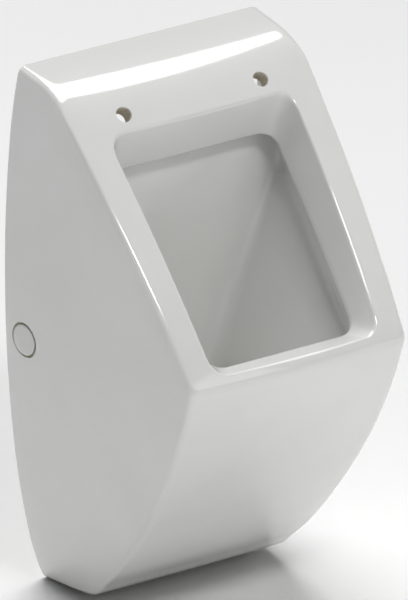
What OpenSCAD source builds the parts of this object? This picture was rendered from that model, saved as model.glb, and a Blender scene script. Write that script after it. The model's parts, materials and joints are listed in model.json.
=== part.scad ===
// Wall-hung urinal: a one-piece ceramic body with a slanted front, with the
// fixings, waste, trap and water inlet behind it.
// Millimetres. X to the right as seen from the front, -Y out of the wall, +Z up.
// Y = 0 is the wall. Z = 0 is the height of the two wall studs, half way up.

/* [Body] */
// Height of the ceramic body
body_h = 560; // [550:2:580]
// Greatest width of the body, where it meets the wall
body_w = 316; // [312:2:330]
// Depth from the wall to the knee of the front
body_d = 288; // [288:2:300]
// Thickness of the ceramic wall
wall = 12; // [11:0.5:12.5]
// How far the front swells forward at its middle
crown = 7; // [2:0.5:8]
// Radius of the edges between the front and the flanks
edge_r = 9; // [6:0.5:10]

/* [Mouth] */
// Half width of the rim's outer edge at its top
rim_top = 107; // [103:0.5:108]
// Half width of the rim's outer edge at its bottom
rim_bottom = 97; // [94:0.5:98]
// Half width of the inner edge of the mouth at its top
mouth_top = 99.5; // [94:0.5:100]
// Half width of the inner edge of the mouth at its bottom
mouth_bottom = 83.5; // [81:0.5:85]
// Corner radius of the mouth
mouth_r = 18; // [14:1:20]

/* [Lid hinge holes] */
// Distance between the two holes
hinge_pitch = 160; // [150:1:166]
// Diameter of each hole
hinge_d = 16; // [12:0.5:17]

/* [Waste and trap] */
// Distance of the drain from the wall
drain_y = 112; // [110:1:114]
// Diameter of the drain hole in the ceramic
drain_d = 44; // [43.5:0.5:45]
// Outer diameter of the outlet pipe
outlet_d = 40; // [32:1:41]

/* [Water inlet] */
// Diameter of the socket for the pipe out of the wall
inlet_d = 21; // [18:0.5:22]

/* [Wall fixings] */
// Distance between the two wall studs
stud_pitch = 220; // [214:1:224]
// Diameter of the stud holes in the fixing blocks
stud_hole_d = 9; // [8.5:0.5:10]
// Diameter of the caps over the side screws
side_cap_d = 32; // [31:0.5:34]

/* [Hidden] */
$fn = 48;

kx = body_w / 316;
ky = body_d / 288;
kz = body_h / 560;

// Colours
c_ceramic = [0.95, 0.95, 0.93];
c_plastic = [0.86, 0.87, 0.87];
c_grey = [0.55, 0.57, 0.58];
c_rubber = [0.13, 0.13, 0.14];
c_steel = [0.72, 0.73, 0.75];
c_brass = [0.75, 0.66, 0.42];

// ---------------------------------------------------------------------------
// Curves. The body is described by three numbers: half width x, distance from
// the wall f, and drop d below the top. [x, f, d] becomes [x, -f, body_h/2 - d].

function seg(p, x, i = 0) = (i >= len(p) - 2 || x < p[i + 1][0]) ? i : seg(p, x, i + 1);
function slope(p, i) = let (a = max(i - 1, 0), b = min(i + 1, len(p) - 1))
    (p[b][1] - p[a][1]) / (p[b][0] - p[a][0]);
// A smooth curve through stations [parameter, value]; the value may be a vector
function curve(p, x) = let (i = seg(p, x), h = p[i + 1][0] - p[i][0], t = (x - p[i][0]) / h)
    (2*t*t*t - 3*t*t + 1) * p[i][1] + (t*t*t - 2*t*t + t) * h * slope(p, i)
    + (3*t*t - 2*t*t*t) * p[i + 1][1] + (t*t*t - t*t) * h * slope(p, i + 1);
// Running length along a list of points, and the same list with it as parameter 0 to 1
function run(q, i) = i == 0 ? 0 : run(q, i - 1) + norm(q[i] - q[i - 1]);
function stations(q) = let (l = run(q, len(q) - 1)) [for (i = [0:len(q) - 1]) [run(q, i) / l, q[i]]];
function mix(a, b, t) = a + (b - a) * t;

// Half width where the body meets the wall, by drop below the top
back_half = [[0, 140], [35, 146.3], [70, 150.8], [140, 156], [215, 158], [295, 156.5],
             [365, 152], [436, 144], [509, 130.5], [545, 119.8], [560, 113.5]];
// Half width at the front edges, by drop below the top
front_half = [[0, 140], [22, 141.6], [50, 141.2], [110, 138.2], [190, 132.2], [247, 126.5], [306, 125.2],
              [370, 122.4], [441, 118.7], [506, 116.5], [560, 111]];
// Distance of the front edges from the wall, by drop below the top
front_depth = [[0, 1], [8.4, 62], [19, 80], [50, 113], [120, 182.5], [192, 246], [246.7, 288],
               [256, 287], [306, 268], [370.6, 235.5], [441, 188], [505.5, 133], [547.6, 87], [560, 80]];

// Side view of the outer skin, [distance from the wall, drop]
top_line = stations([[80, 19], [72, 13.3], [62, 8.4], [49.5, 4.5], [33, 2.2], [0, 0]]);
face_line = stations([[80, 19], [113, 49.9], [182.5, 119.7], [246, 192.1], [288, 246.7]]);
low_line = stations([[288, 246.7], [287, 256], [268, 306], [235.5, 370.6], [188, 441],
                     [133, 505.5], [91, 544], [87, 547], [82, 548.5], [0, 560]]);
wall_line = stations([[0, 0], [0, 280], [0, 560]]);

// Side view of the inner skin
iw = wall + 0.5;
top_in = stations([[85, 28 + wall], [70, 14 + wall], [52, 5.5 + wall], [30, 2 + wall], [0, iw]]);
face_in = stations([[85, 28 + wall], [134, 78 + wall], [228, 190 + wall], [265, 271 + wall]]);
low_in = stations([[277 - wall, 283], [268 - wall, 302], [236 - wall, 364.6], [189.5 - wall, 433],
                   [136 - wall, 496], [96 - wall, 546 - wall], [90 - wall, 549 - wall], [0, 560 - wall]]);
wall_in = stations([[0, iw], [0, 280], [0, 560 - wall]]);

// A point [f, d] of a flank, u from the front edge to the wall, v from the top to the bottom
function patch(t, e, b, w, u, v) =
    let (pt = curve(t, u), pb = curve(b, u), pe = curve(e, v), pw = curve(w, v))
    (1 - v) * pt + v * pb + (1 - u) * pe + u * pw
    - ((1 - u) * (1 - v) * curve(t, 0) + u * (1 - v) * curve(t, 1)
       + (1 - u) * v * curve(b, 0) + u * v * curve(b, 1));
// Half width of a flank at a point [f, d]
function flank(p) = let (d = min(max(p[1], 0), 560), f = max(p[0], 0))
    mix(curve(back_half, d), curve(front_half, d), min(f / curve(front_depth, d), 1));
// Distance of the front from the wall at a drop and a half width, with its swell
function front_f(d, x) = curve(front_depth, d) + crown * (1 - pow(x / curve(front_half, d), 2));

// ---------------------------------------------------------------------------
// Rings. Half a ring runs from the middle of its top edge over a rounded corner
// down the right side, over the lower corner, to the middle of its bottom edge.

n_edge = 6;
n_corner = 5;
n_side = 14;

function bez(a, c, b, t) = (1-t)*(1-t)*a + 2*t*(1-t)*c + t*t*b;
// ct, cb: upper and lower corner; side: function of v giving the flank's point;
// st, sb: swell of the upper and lower edge at its middle; inset: gap from ct and cb to the flank
function half_ring(ct, cb, rt, rb, side, st = 0, sb = 0, inset = 0) =
    let (len_side = norm(cb - ct), vt = rt / len_side, vb = 1 - rb / len_side,
         xt = ct[0] - rt, xb = cb[0] - rb)
    concat(
        [for (i = [0:n_edge - 1]) let (x = xt * i / n_edge)
            [x, ct[1] + st * (1 - pow(x / (ct[0] + inset), 2)), ct[2]]],
        [for (i = [0:n_corner - 1]) bez([xt, ct[1] + st * (1 - pow(xt / (ct[0] + inset), 2)), ct[2]], ct, side(vt), i / n_corner)],
        [for (i = [0:n_side - 1]) side(mix(vt, vb, i / (n_side - 1)))],
        [for (i = [1:n_corner]) bez(side(vb), cb, [xb, cb[1] + sb * (1 - pow(xb / (cb[0] + inset), 2)), cb[2]], i / n_corner)],
        [for (i = [1:n_edge]) let (x = xb * (1 - i / n_edge))
            [x, cb[1] + sb * (1 - pow(x / (cb[0] + inset), 2)), cb[2]]]);

n_half = 2 * n_edge + 2 * n_corner + n_side;
// A ring with straight flanks that may bow out of the slanted plane
function flat_ring(ct, cb, rt, rb, bow = 0) =
    half_ring(ct, cb, rt, rb, function (v) mix(ct, cb, v) + 4 * bow * v * (1 - v) * [0, 0.72, -0.69]);
// A ring that lies on the front
function face_ring(xt, dt, xb, db, rt, rb) =
    [for (p = half_ring([xt, 0, dt], [xb, 0, db], rt, rb, function (v) mix([xt, 0, dt], [xb, 0, db], v)))
        [p[0], front_f(p[2], p[0]), p[2]]];
// A round ring
function disc_ring(r, f, d) = [for (i = [0:n_half - 1]) let (a = 180 * i / (n_half - 1))
    [r * sin(a), f - r * cos(a), d]];
// A ring of the outer skin, u from the front edge to the wall.
// inset: how far inside the flank it runs, back: how far behind the front
function skin_ring(u, inset = 0, back = 0, rt = 12, rb = 10) =
    let (pt = curve(top_line, u), pb = curve(low_line, u), k = pow(1 - u, 2))
    half_ring([flank(pt) - inset, pt[0], pt[1]], [flank(pb) - inset, pb[0], pb[1]], rt, rb,
        function (v) let (q = patch(top_line, face_line, low_line, wall_line, u, v),
                          w = back * sin(180 * min(1, max(0, v))))
            [flank(q) - inset, q[0] - 0.72 * w, q[1] + 0.69 * w],
        crown * k, crown * (1 - u), inset);
// A ring of the inner skin
function inner_ring(u, rt = 10, rb = 10) =
    let (pt = curve(top_in, u), pb = curve(low_in, u))
    half_ring([flank(pt) - iw, pt[0], pt[1]], [flank(pb) - iw, pb[0], pb[1]], rt, rb,
        function (v) let (q = patch(top_in, face_in, low_in, wall_in, u, v)) [flank(q) - iw, q[0], q[1]]);

// Bowl, from the drain up to the rim: upper and lower corners of its rings
bowl_t0 = [37, 77, 322];
bowl_b0 = [42, 150, 328];
bowl_t1 = [116.5, 77, 131];
bowl_b1 = [90.5, 250, 274];
// The same outside
shell_t0 = [48, 66, 331];
shell_b0 = [53, 158, 339];
shell_t1 = [127.5, 66, 131];
shell_b1 = [99.5, 252, 284];
floor_d = 345;
floor_in_d = 357;

rings = concat(
    [disc_ring(33, drain_y, floor_d), disc_ring(36, drain_y, floor_d - 1.5)],
    [for (k = [0, 0.12, 0.35, 0.6, 0.82, 1])
        flat_ring(mix(bowl_t0, bowl_t1, k), mix(bowl_b0, bowl_b1, k), mix(22, 14, k), mix(26, 18, k))],
    [flat_ring([116, 77, 100], [91, 253, 270], 14, 18),
     flat_ring([113.5, 78, 78], [92, 257, 264], 14, 18),
     flat_ring([111, 82, 74], [92.5, 260, 259], 14, 18, 0.5),
     flat_ring([103, 89.5, 75.5], [92, 262, 255], 14, 18, 1.5),
     flat_ring([mouth_top + 1.5, 85, 87], [mouth_bottom + 2, 256.5, 251.5], mouth_r + 2, mouth_r, 2),
     flat_ring([mouth_top + 0.4, 87, 91.5], [mouth_bottom + 0.6, 257, 248], mouth_r + 6, mouth_r, 3),
     flat_ring([mouth_top, 91.5, 91.5], [mouth_bottom, 259.5, 243.5], mouth_r + 7, mouth_r, 3),
     flat_ring([mouth_top + 1, 94.5, 86.5], [mouth_bottom + 1.5, 263, 242.5], mouth_r + 6, mouth_r, 3.2)],
    [face_ring(rim_top, 43.5, rim_bottom, 238, mouth_r + 2, mouth_r + 1),
     face_ring(rim_top + 2.5, 41.5, rim_bottom + 2.5, 239.5, mouth_r + 3, mouth_r + 2),
     face_ring(mix(rim_top, 140, 0.5), 32, mix(rim_bottom, 126, 0.5), 242, 17, 15)],
    [skin_ring(0, edge_r, 0, 16, 9), skin_ring(0.004, 0.3 * edge_r, 0.3 * edge_r, 14, 8),
     skin_ring(0.02, 0, edge_r, 13, 7)],
    [for (u = [0.07, 0.15, 0.26, 0.38, 0.5, 0.62, 0.73, 0.815, 0.83, 0.9, 1]) skin_ring(u, 0, 8 * pow(1 - u, 3), mix(13, 9, u), mix(8, 5, u))],
    [for (u = [1, 0.83, 0.68, 0.5, 0.32, 0.15, 0.04, 0]) inner_ring(u)],
    [flat_ring([119, 94, 55], [103, 264, 274], 14, 14, 14),
     flat_ring([121.5, 84, 60], [101.5, 259.5, 276], 14, 16, 10),
     flat_ring([124, 66, 64], [101, 256, 279], 16, 18, 3)],
    [for (k = [1, 0.8, 0.58, 0.35, 0.12, 0])
        flat_ring(mix(shell_t0, shell_t1, k), mix(shell_b0, shell_b1, k), mix(30, 20, k), mix(32, 22, k))],
    [disc_ring(45, drain_y, floor_in_d)]);

function place(p, left) = [(left ? -1 : 1) * p[0] * kx, -p[1] * ky, body_h / 2 - p[2] * kz];
function full(h) = concat([for (p = h) place(p, false)],
                          [for (i = [n_half - 2:-1:1]) place(h[i], true)]);

n_ring = 2 * n_half - 2;
body_points = [for (r = rings) each full(r)];
body_faces = concat(
    [[for (j = [0:n_ring - 1]) j]],
    [for (i = [0:len(rings) - 2], j = [0:n_ring - 1])
        each let (a = i * n_ring + j, b = i * n_ring + (j + 1) % n_ring, c = a + n_ring, d = b + n_ring)
            [[a, d, b], [a, c, d]]],
    [[for (j = [n_ring - 1:-1:0]) (len(rings) - 1) * n_ring + j]]);

// Places that the other pieces are set out from
drain_f = drain_y * ky;
floor_z = body_h / 2 - floor_d * kz;
under_z = body_h / 2 - floor_in_d * kz;
inlet_z = body_h / 2 - 85.7 * kz;
side_f = 29.5 * ky;
side_x = kx * (flank([29.5, 280]));
side_tilt = atan((curve(back_half, 280) - curve(front_half, 280)) * kx / (curve(front_depth, 280) * ky));
hinge_x = hinge_pitch / 2;
hinge_drop = 30.5;
hinge_y = -front_f(hinge_drop, hinge_x / kx) * ky;
hinge_z = body_h / 2 - hinge_drop * kz;
face_tilt = 43.8;

module at_hinge(side) translate([side * hinge_x, hinge_y, hinge_z]) rotate([face_tilt, 0, 0]) children();
module at_side(side) translate([side * side_x, -side_f, 0]) rotate([0, 0, side * -side_tilt]) rotate([0, side * 90, 0]) children();
module at_drain(z) translate([0, -drain_f, z]) children();
// Axis along +Y, from y back into the wall's direction
module along_y(x, y, z) translate([x, y, z]) rotate([-90, 0, 0]) children();

// A turned piece: list of [radius, height]
module turned(p) rotate_extrude($fn = 64) polygon(p);
module tube(ro, ri, h) difference() { cylinder(r = ro, h = h, $fn = 64); translate([0, 0, -1]) cylinder(r = ri, h = h + 2, $fn = 64); }
// A union nut with grip ribs
module ribbed_nut(ro, ri, h, n = 12) difference() {
    union() {
        cylinder(r = ro - 1.5, h = h, $fn = 64);
        for (i = [0:n - 1]) rotate(i * 360 / n) translate([ro - 3.2, -1.6, 0.8]) cube([3.2, 3.2, h - 1.6]);
    }
    translate([0, 0, -1]) cylinder(r = ri, h = h + 2, $fn = 64);
}

// ---------------------------------------------------------------------------
module ceramic_body() color(c_ceramic) difference() {
    polyhedron(points = body_points, faces = body_faces, convexity = 12);
    at_drain(under_z - 5) cylinder(d = drain_d, h = floor_z - under_z + 15, $fn = 64);
    for (s = [-1, 1]) {
        at_hinge(s) translate([0, 0, -22]) cylinder(d = hinge_d, h = 40, $fn = 48);
        at_side(s) translate([0, 0, -24]) cylinder(r = side_cap_d / 2 - 2, h = 40, $fn = 64);
    }
    along_y(0, -85 * ky, inlet_z) rotate(37) cylinder(r = 10, h = 30, $fn = 48);
}

// Wall fixings: a block against the wall on each side, with a tapped lug that
// the side screw reaches through the flank
module fixing_block(side) color(c_grey) difference() {
    union() {
        translate([side * 111.5, 0, 0]) hull() for (x = [-15, 15], z = [-22, 22])
            translate([x, 0, z]) rotate([90, 0, 0]) cylinder(r = 4.5, h = 8, $fn = 32);
        at_side(side) translate([-20, -15, -32]) cube([40, 39.5, 15.5]);
        for (z = [-20, 16]) at_side(side) translate([z, -11, -44]) cube([4, 31, 16]);
    }
    along_y(side * stud_pitch / 2, -20, 0) cylinder(d = stud_hole_d, h = 30, $fn = 48);
    at_side(side) translate([0, 0, -60]) cylinder(r = 4, h = 60, $fn = 48);
}
module fixing_block_left() fixing_block(-1);
module fixing_block_right() fixing_block(1);
module wall_washers() color(c_steel) for (s = [-1, 1])
    along_y(s * stud_pitch / 2, -9.6, 0) tube(8.5, 4.3, 1.6);
module wall_nuts() color(c_steel) for (s = [-1, 1])
    along_y(s * stud_pitch / 2, -16.1, 0) difference() {
        cylinder(r = 7.5, h = 6.5, $fn = 6);
        translate([0, 0, -1]) cylinder(r = 4.05, h = 9, $fn = 48);
    }
// Plastic bush in each side hole, with a floor that the screw head bears on
module side_bushes() color(c_plastic) for (s = [-1, 1]) at_side(s)
    turned([[4.3, -16.2], [18, -16.2], [18, -13.3], [side_cap_d / 2 - 2.1, -13.3], [side_cap_d / 2 - 2.1, -1.2],
            [9.5, -1.2], [9.5, -13.6], [4.3, -13.6]]);
module side_screws() color(c_steel) for (s = [-1, 1]) at_side(s) difference() {
    turned([[0, -34], [3.2, -34], [4, -33], [4, -13.6], [7, -13.6], [7, -9.4], [6.4, -8.8], [0, -8.8]]);
    translate([0, 0, -12]) cylinder(r = 3.46, h = 6, $fn = 6);
}
// Cap over the side screw: a shallow disc on a stem that plugs into the bush
module side_cap(side) color(c_ceramic) at_side(side)
    turned([[0, -7.6], [8.6, -7.6], [9.42, -6.8], [9.42, 0.8], [side_cap_d / 2, 0.8], [side_cap_d / 2, 1.8],
            [side_cap_d / 2 - 0.5, 2.3], [side_cap_d / 2 - 1.4, 2.6], [0, 2.9]]);
module side_cap_left() side_cap(-1);
module side_cap_right() side_cap(1);

// Waste: strainer and dip tube lift out upwards through the flange
module waste_flange() color(c_steel) at_drain(floor_z)
    turned([[17.5, -46], [20.5, -46], [20.5, 1.5], [31, 1.5], [31, 2.4], [30.2, 3.2], [27.5, 4.3], [26.6, 4.5],
            [24.1, 4.5], [24.1, 2.5], [19.5, 2.5], [17.5, 0.5]]);
module waste_seal_upper() color(c_rubber) at_drain(floor_z) tube(30, 20.6, 1.5);
module waste_seal_lower() color(c_rubber) at_drain(under_z - 2) tube(31, 20.6, 2);
module waste_locknut() color(c_grey) at_drain(under_z - 10.5) ribbed_nut(31, 20.5, 8.5, 12);
module strainer_grate() color(c_steel) at_drain(floor_z) difference() {
    turned([[13.2, -6], [15, -6], [15, 2.5], [23.8, 2.5], [23.8, 4.1], [23.3, 4.5], [6, 4.9], [0, 5], [0, 3],
            [13.2, 3]]);
    for (i = [0:5]) rotate(i * 60) translate([5.6, 0, 0]) cylinder(r = 1.5, h = 10, $fn = 24);
    for (i = [0:11]) rotate(i * 30 + 15) translate([10.4, 0, 0]) cylinder(r = 1.7, h = 10, $fn = 24);
}
module dip_tube() color(c_plastic) at_drain(floor_z)
    turned([[13.2, -96], [15, -96], [15, -40.4], [16.9, -40.4], [16.9, -35.4], [15.2, -35.4], [15.2, -31.6], [16.9, -31.6],
            [16.9, -26], [15, -24], [15, -6], [13.2, -6]]);
module dip_tube_seal() color(c_rubber) at_drain(floor_z - 33.5)
    turned([[15.2, -1.7], [16.9, -1.7], [17.42, -0.8], [17.42, 0.8], [16.9, 1.7], [15.2, 1.7]]);

// Bottle trap under the drain, with its outlet towards the wall
trap_top = under_z - 17;
outlet_z = trap_top - 34;
module trap_body() color(c_plastic) difference() {
    union() {
        at_drain(trap_top) turned([[0, -70], [36, -70], [36, -17], [33.5, -13.5], [26, -12], [26, 0], [0, 0]]);
        along_y(0, -drain_f, outlet_z) cylinder(r = outlet_d / 2 + 2, h = drain_f - 60, $fn = 64);
    }
    at_drain(trap_top) turned([[0, -71], [33, -71], [33, -18], [31, -16], [21.3, -14], [21.3, 1], [0, 1]]);
    along_y(0, -drain_f, outlet_z) cylinder(r = outlet_d / 2 - 3, h = drain_f, $fn = 64);
    along_y(0, -82, outlet_z) cylinder(r = outlet_d / 2 + 0.1, h = 40, $fn = 64);
}
module trap_inlet_seal() color(c_rubber) at_drain(trap_top) turned([[20.6, 0], [25.8, 0], [24.6, 2.5], [20.6, 2.5]]);
module trap_inlet_nut() color(c_plastic) at_drain(trap_top - 9.5) difference() {
    ribbed_nut(32, 20.8, 14, 12);
    translate([0, 0, -1]) cylinder(r = 26.2, h = 13, $fn = 64);
}
module trap_cup_seal() color(c_rubber) at_drain(trap_top - 72) tube(36, 33, 2);
module trap_cup() color(c_plastic) at_drain(trap_top - 91) {
    turned([[0, 0], [28, 0], [33, 1.5], [37.5, 6], [39.5, 11], [39.5, 27.2], [38.7, 28], [36.1, 28], [36.1, 19],
            [33, 19], [33, 11], [31, 7], [27, 4], [0, 4]]);
    for (i = [0:15]) rotate(i * 22.5) translate([38.9, -1.4, 12]) cube([2.1, 2.8, 14.5]);
}
module outlet_pipe() color(c_grey) along_y(0, -81.5, outlet_z)
    turned([[outlet_d / 2 - 2.4, 0], [outlet_d / 2 - 0.6, 0], [outlet_d / 2, 1.5], [outlet_d / 2, 53],
            [outlet_d / 2 + 1.6, 53.6], [outlet_d / 2 + 1.6, 55.4], [outlet_d / 2, 56], [outlet_d / 2, 80.5],
            [outlet_d / 2 - 1, 81.5], [outlet_d / 2 - 2.4, 81.5]]);
module outlet_seal() color(c_rubber) along_y(0, -60, outlet_z) tube(outlet_d / 2 + 1.8, outlet_d / 2 + 0.1, 2);
module outlet_nut() color(c_plastic) along_y(0, -73, outlet_z) difference() {
    ribbed_nut(outlet_d / 2 + 7, outlet_d / 2 + 0.2, 17, 12);
    translate([0, 0, -1]) cylinder(r = outlet_d / 2 + 2.2, h = 16, $fn = 64);
}

// Water inlet from the wall to a nozzle hidden behind the upper lip of the mouth
module inlet_connector() color(c_brass) along_y(0, -44, inlet_z)
    turned([[5.5, 0], [10, 0], [10, 15], [13.5, 17], [13.5, 43.2], [12.7, 44], [inlet_d / 2, 44], [inlet_d / 2, 24], [5.5, 20]]);
module inlet_union_nut() color(c_brass) along_y(0, -48, inlet_z) difference() {
    cylinder(r = 15, h = 14, $fn = 6);
    translate([0, 0, 2]) cylinder(r = 10.1, h = 14, $fn = 48);
    translate([0, 0, -1]) cylinder(r = 7, h = 6, $fn = 48);
}
module inlet_grommet() color(c_rubber) along_y(0, -77 * ky, inlet_z)
    turned([[7, 0], [9.95, 0], [9.95, 11 * ky], [15, 11 * ky], [15, 11 * ky + 3], [7, 11 * ky + 3]]);
module spray_nozzle() color(c_plastic) along_y(0, -81.6 * ky, inlet_z) difference() {
    turned([[0, 0], [6.5, 0], [8.2, 1], [8.8, 2.4], [8.8, 3.6], [6.9, 3.6], [6.9, 81.6 * ky - 46], [9.8, 81.6 * ky - 46],
            [9.8, 81.6 * ky - 44.05], [0, 81.6 * ky - 44.05]]);
    translate([0, 0, 2.4]) cylinder(r = 4, h = 60, $fn = 32);
    for (a = [-60, -30, 0, 30, 60]) rotate(a) translate([0, 3, -1]) cylinder(r = 0.75, h = 5, $fn = 24);
}

ceramic_body();
fixing_block_left();
fixing_block_right();
wall_washers();
wall_nuts();
side_bushes();
side_screws();
side_cap_left();
side_cap_right();
strainer_grate();
dip_tube();
dip_tube_seal();
waste_flange();
waste_seal_upper();
waste_seal_lower();
waste_locknut();
trap_body();
trap_inlet_nut();
trap_inlet_seal();
trap_cup();
trap_cup_seal();
outlet_pipe();
outlet_nut();
outlet_seal();
inlet_connector();
inlet_union_nut();
inlet_grommet();
spray_nozzle();
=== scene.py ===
import json
import math

import bmesh
import bpy
import numpy as np
from mathutils import Matrix, Vector
from mathutils.bvhtree import BVHTree

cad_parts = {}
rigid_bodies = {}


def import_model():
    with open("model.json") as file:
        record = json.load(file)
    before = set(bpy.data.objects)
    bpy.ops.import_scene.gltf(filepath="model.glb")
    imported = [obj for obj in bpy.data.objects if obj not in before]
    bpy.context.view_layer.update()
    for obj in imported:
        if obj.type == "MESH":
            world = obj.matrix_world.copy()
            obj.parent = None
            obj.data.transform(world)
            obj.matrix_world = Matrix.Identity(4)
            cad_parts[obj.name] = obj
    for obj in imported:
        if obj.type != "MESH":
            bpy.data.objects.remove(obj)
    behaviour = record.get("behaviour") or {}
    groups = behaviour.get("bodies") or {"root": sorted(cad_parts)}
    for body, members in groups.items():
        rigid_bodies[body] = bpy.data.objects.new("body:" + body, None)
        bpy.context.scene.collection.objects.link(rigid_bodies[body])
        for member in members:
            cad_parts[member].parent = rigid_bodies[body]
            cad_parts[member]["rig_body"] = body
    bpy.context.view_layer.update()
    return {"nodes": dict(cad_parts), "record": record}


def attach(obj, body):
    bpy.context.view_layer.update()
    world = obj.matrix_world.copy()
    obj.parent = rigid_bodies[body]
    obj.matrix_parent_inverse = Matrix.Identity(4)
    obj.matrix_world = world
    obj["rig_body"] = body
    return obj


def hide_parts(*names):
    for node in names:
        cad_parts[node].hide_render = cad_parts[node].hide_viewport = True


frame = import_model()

scene = bpy.context.scene

# ---------------------------------------------------------------------------
# Camera: parallel-looking, from the viewer's left, above the object
AZ, EL = 33.2, 24.16
LENS = 900.0
VIEW_H = 0.59055          # height of the picture at the object, in metres
a, e = math.radians(-AZ), math.radians(EL)
to_cam = Vector((math.sin(a) * math.cos(e), -math.cos(a) * math.cos(e), math.sin(e)))
target = Vector((0.0, -0.1182, 0.0387))
cam_data = bpy.data.cameras.new("camera")
cam_data.type = "PERSP"
cam_data.lens = LENS
cam_data.sensor_width = 36.0
dist = VIEW_H * LENS / 36.0
cam_data.clip_start, cam_data.clip_end = 1.0, 60.0
cam = bpy.data.objects.new("camera", cam_data)
scene.collection.objects.link(cam)
cam.location = target + to_cam * dist
cam.rotation_mode = "QUATERNION"
cam.rotation_quaternion = (-to_cam).to_track_quat("-Z", "Y")
scene.camera = cam

# ---------------------------------------------------------------------------
# Ceramic body. Half width x, distance from the wall f and drop d, in mm;
# [x, f, d] becomes (x, -f, 280 - d) / 1000.
WALL = 12.0
CROWN = 7.0
RIM_T, RIM_B = 107.0, 97.0
MOUTH_T, MOUTH_B, MOUTH_R = 99.5, 83.5, 18.0
DRAIN_F, DRAIN_R = 112.0, 22.0
FLOOR_D, FLOOR_IN_D = 345.0, 357.0
N_EDGE, N_CORNER, N_SIDE = 26, 14, 64
N_HALF = 2 * N_EDGE + 2 * N_CORNER + N_SIDE


class Curve:
    """A smooth curve through stations (parameter, value)."""

    def __init__(self, p, v):
        self.p = np.asarray(p, float)
        self.v = np.asarray(v, float)
        n = len(self.p)
        lo = np.maximum(np.arange(n) - 1, 0)
        hi = np.minimum(np.arange(n) + 1, n - 1)
        dp = (self.p[hi] - self.p[lo])
        self.s = (self.v[hi] - self.v[lo]) / (dp[:, None] if self.v.ndim == 2 else dp)

    def __call__(self, x):
        x = np.asarray(x, float)
        i = np.clip(np.searchsorted(self.p, x, side="right") - 1, 0, len(self.p) - 2)
        h = self.p[i + 1] - self.p[i]
        t = (x - self.p[i]) / h
        if self.v.ndim == 2:
            t, h = t[..., None], h[..., None]
        return ((2*t**3 - 3*t**2 + 1) * self.v[i] + (t**3 - 2*t**2 + t) * h * self.s[i]
                + (3*t**2 - 2*t**3) * self.v[i + 1] + (t**3 - t**2) * h * self.s[i + 1])


def stations(q):
    q = np.asarray(q, float)
    d = np.r_[0, np.cumsum(np.linalg.norm(np.diff(q, axis=0), axis=1))]
    return Curve(d / d[-1], q)


def table(rows):
    r = np.asarray(rows, float)
    return Curve(r[:, 0], r[:, 1])


back_half = table([[0, 140], [35, 146.3], [70, 150.8], [140, 156], [215, 158], [295, 156.5],
                   [365, 152], [436, 144], [509, 130.5], [545, 119.8], [560, 113.5]])
front_half = table([[0, 140], [22, 141.6], [50, 141.2], [110, 138.2], [190, 132.2], [247, 126.5],
                    [306, 125.2], [370, 122.4], [441, 118.7], [506, 116.5], [560, 111]])
front_depth = table([[0, 1], [8.4, 62], [19, 80], [50, 113], [120, 182.5], [192, 246], [246.7, 288],
                     [256, 287], [306, 268], [370.6, 235.5], [441, 188], [505.5, 133], [547.6, 87], [560, 80]])
top_line = stations([[80, 19], [72, 13.3], [62, 8.4], [49.5, 4.5], [33, 2.2], [0, 0]])
face_line = stations([[80, 19], [113, 49.9], [182.5, 119.7], [246, 192.1], [288, 246.7]])
low_line = stations([[288, 246.7], [287, 256], [268, 306], [235.5, 370.6], [188, 441],
                     [133, 505.5], [91, 544], [87, 547], [82, 548.5], [0, 560]])
wall_line = stations([[0, 0], [0, 280], [0, 560]])
IW = WALL + 0.5
top_in = stations([[85, 28 + WALL], [70, 14 + WALL], [52, 5.5 + WALL], [30, 2 + WALL], [0, IW]])
face_in = stations([[85, 28 + WALL], [134, 78 + WALL], [228, 190 + WALL], [265, 271 + WALL]])
low_in = stations([[277 - WALL, 283], [268 - WALL, 302], [236 - WALL, 364.6], [189.5 - WALL, 433],
                   [136 - WALL, 496], [96 - WALL, 546 - WALL], [90 - WALL, 549 - WALL], [0, 560 - WALL]])
wall_in = stations([[0, IW], [0, 280], [0, 560 - WALL]])


def mix(p, q, t):
    return np.asarray(p, float) + (np.asarray(q, float) - np.asarray(p, float)) * t


def patch(t, ed, b, w, u, v):
    """Point [f, d] of a flank; u is one number, v an array."""
    v = np.asarray(v, float)
    V = v[:, None]
    pt, pb, pe, pw = t(u), b(u), ed(v), w(v)
    return ((1 - V) * pt + V * pb + (1 - u) * pe + u * pw
            - ((1 - u) * (1 - V) * t(0.0) + u * (1 - V) * t(1.0)
               + (1 - u) * V * b(0.0) + u * V * b(1.0)))


def flank(f, d):
    d = np.clip(d, 0, 560)
    f = np.maximum(f, 0)
    return mix(back_half(d), front_half(d), np.minimum(f / front_depth(d), 1))


def front_f(d, x):
    return front_depth(d) + CROWN * (1 - (x / front_half(d)) ** 2)


def bez(p, c, q, t):
    t = np.asarray(t, float)[:, None]
    return (1 - t) ** 2 * p + 2 * t * (1 - t) * c + t * t * q


def half_ring(ct, cb, rt, rb, side, st=0.0, sb=0.0, inset=0.0):
    ct, cb = np.asarray(ct, float), np.asarray(cb, float)
    ls = np.linalg.norm(cb - ct)
    vt, vb = rt / ls, 1 - rb / ls
    xt, xb = ct[0] - rt, cb[0] - rb

    def top(x):
        x = np.atleast_1d(x)
        return np.stack([x, ct[1] + st * (1 - (x / (ct[0] + inset)) ** 2), np.full_like(x, ct[2])], 1)

    def bottom(x):
        x = np.atleast_1d(x)
        return np.stack([x, cb[1] + sb * (1 - (x / (cb[0] + inset)) ** 2), np.full_like(x, cb[2])], 1)

    st_pt, en_pt = side(np.array([vt])), side(np.array([vb]))
    return np.concatenate([
        top(xt * np.arange(N_EDGE) / N_EDGE),
        bez(top(xt), ct, st_pt, np.arange(N_CORNER) / N_CORNER),
        side(mix(vt, vb, np.arange(N_SIDE) / (N_SIDE - 1))),
        bez(en_pt, cb, bottom(xb), np.arange(1, N_CORNER + 1) / N_CORNER),
        bottom(xb * (1 - np.arange(1, N_EDGE + 1) / N_EDGE))])


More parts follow.
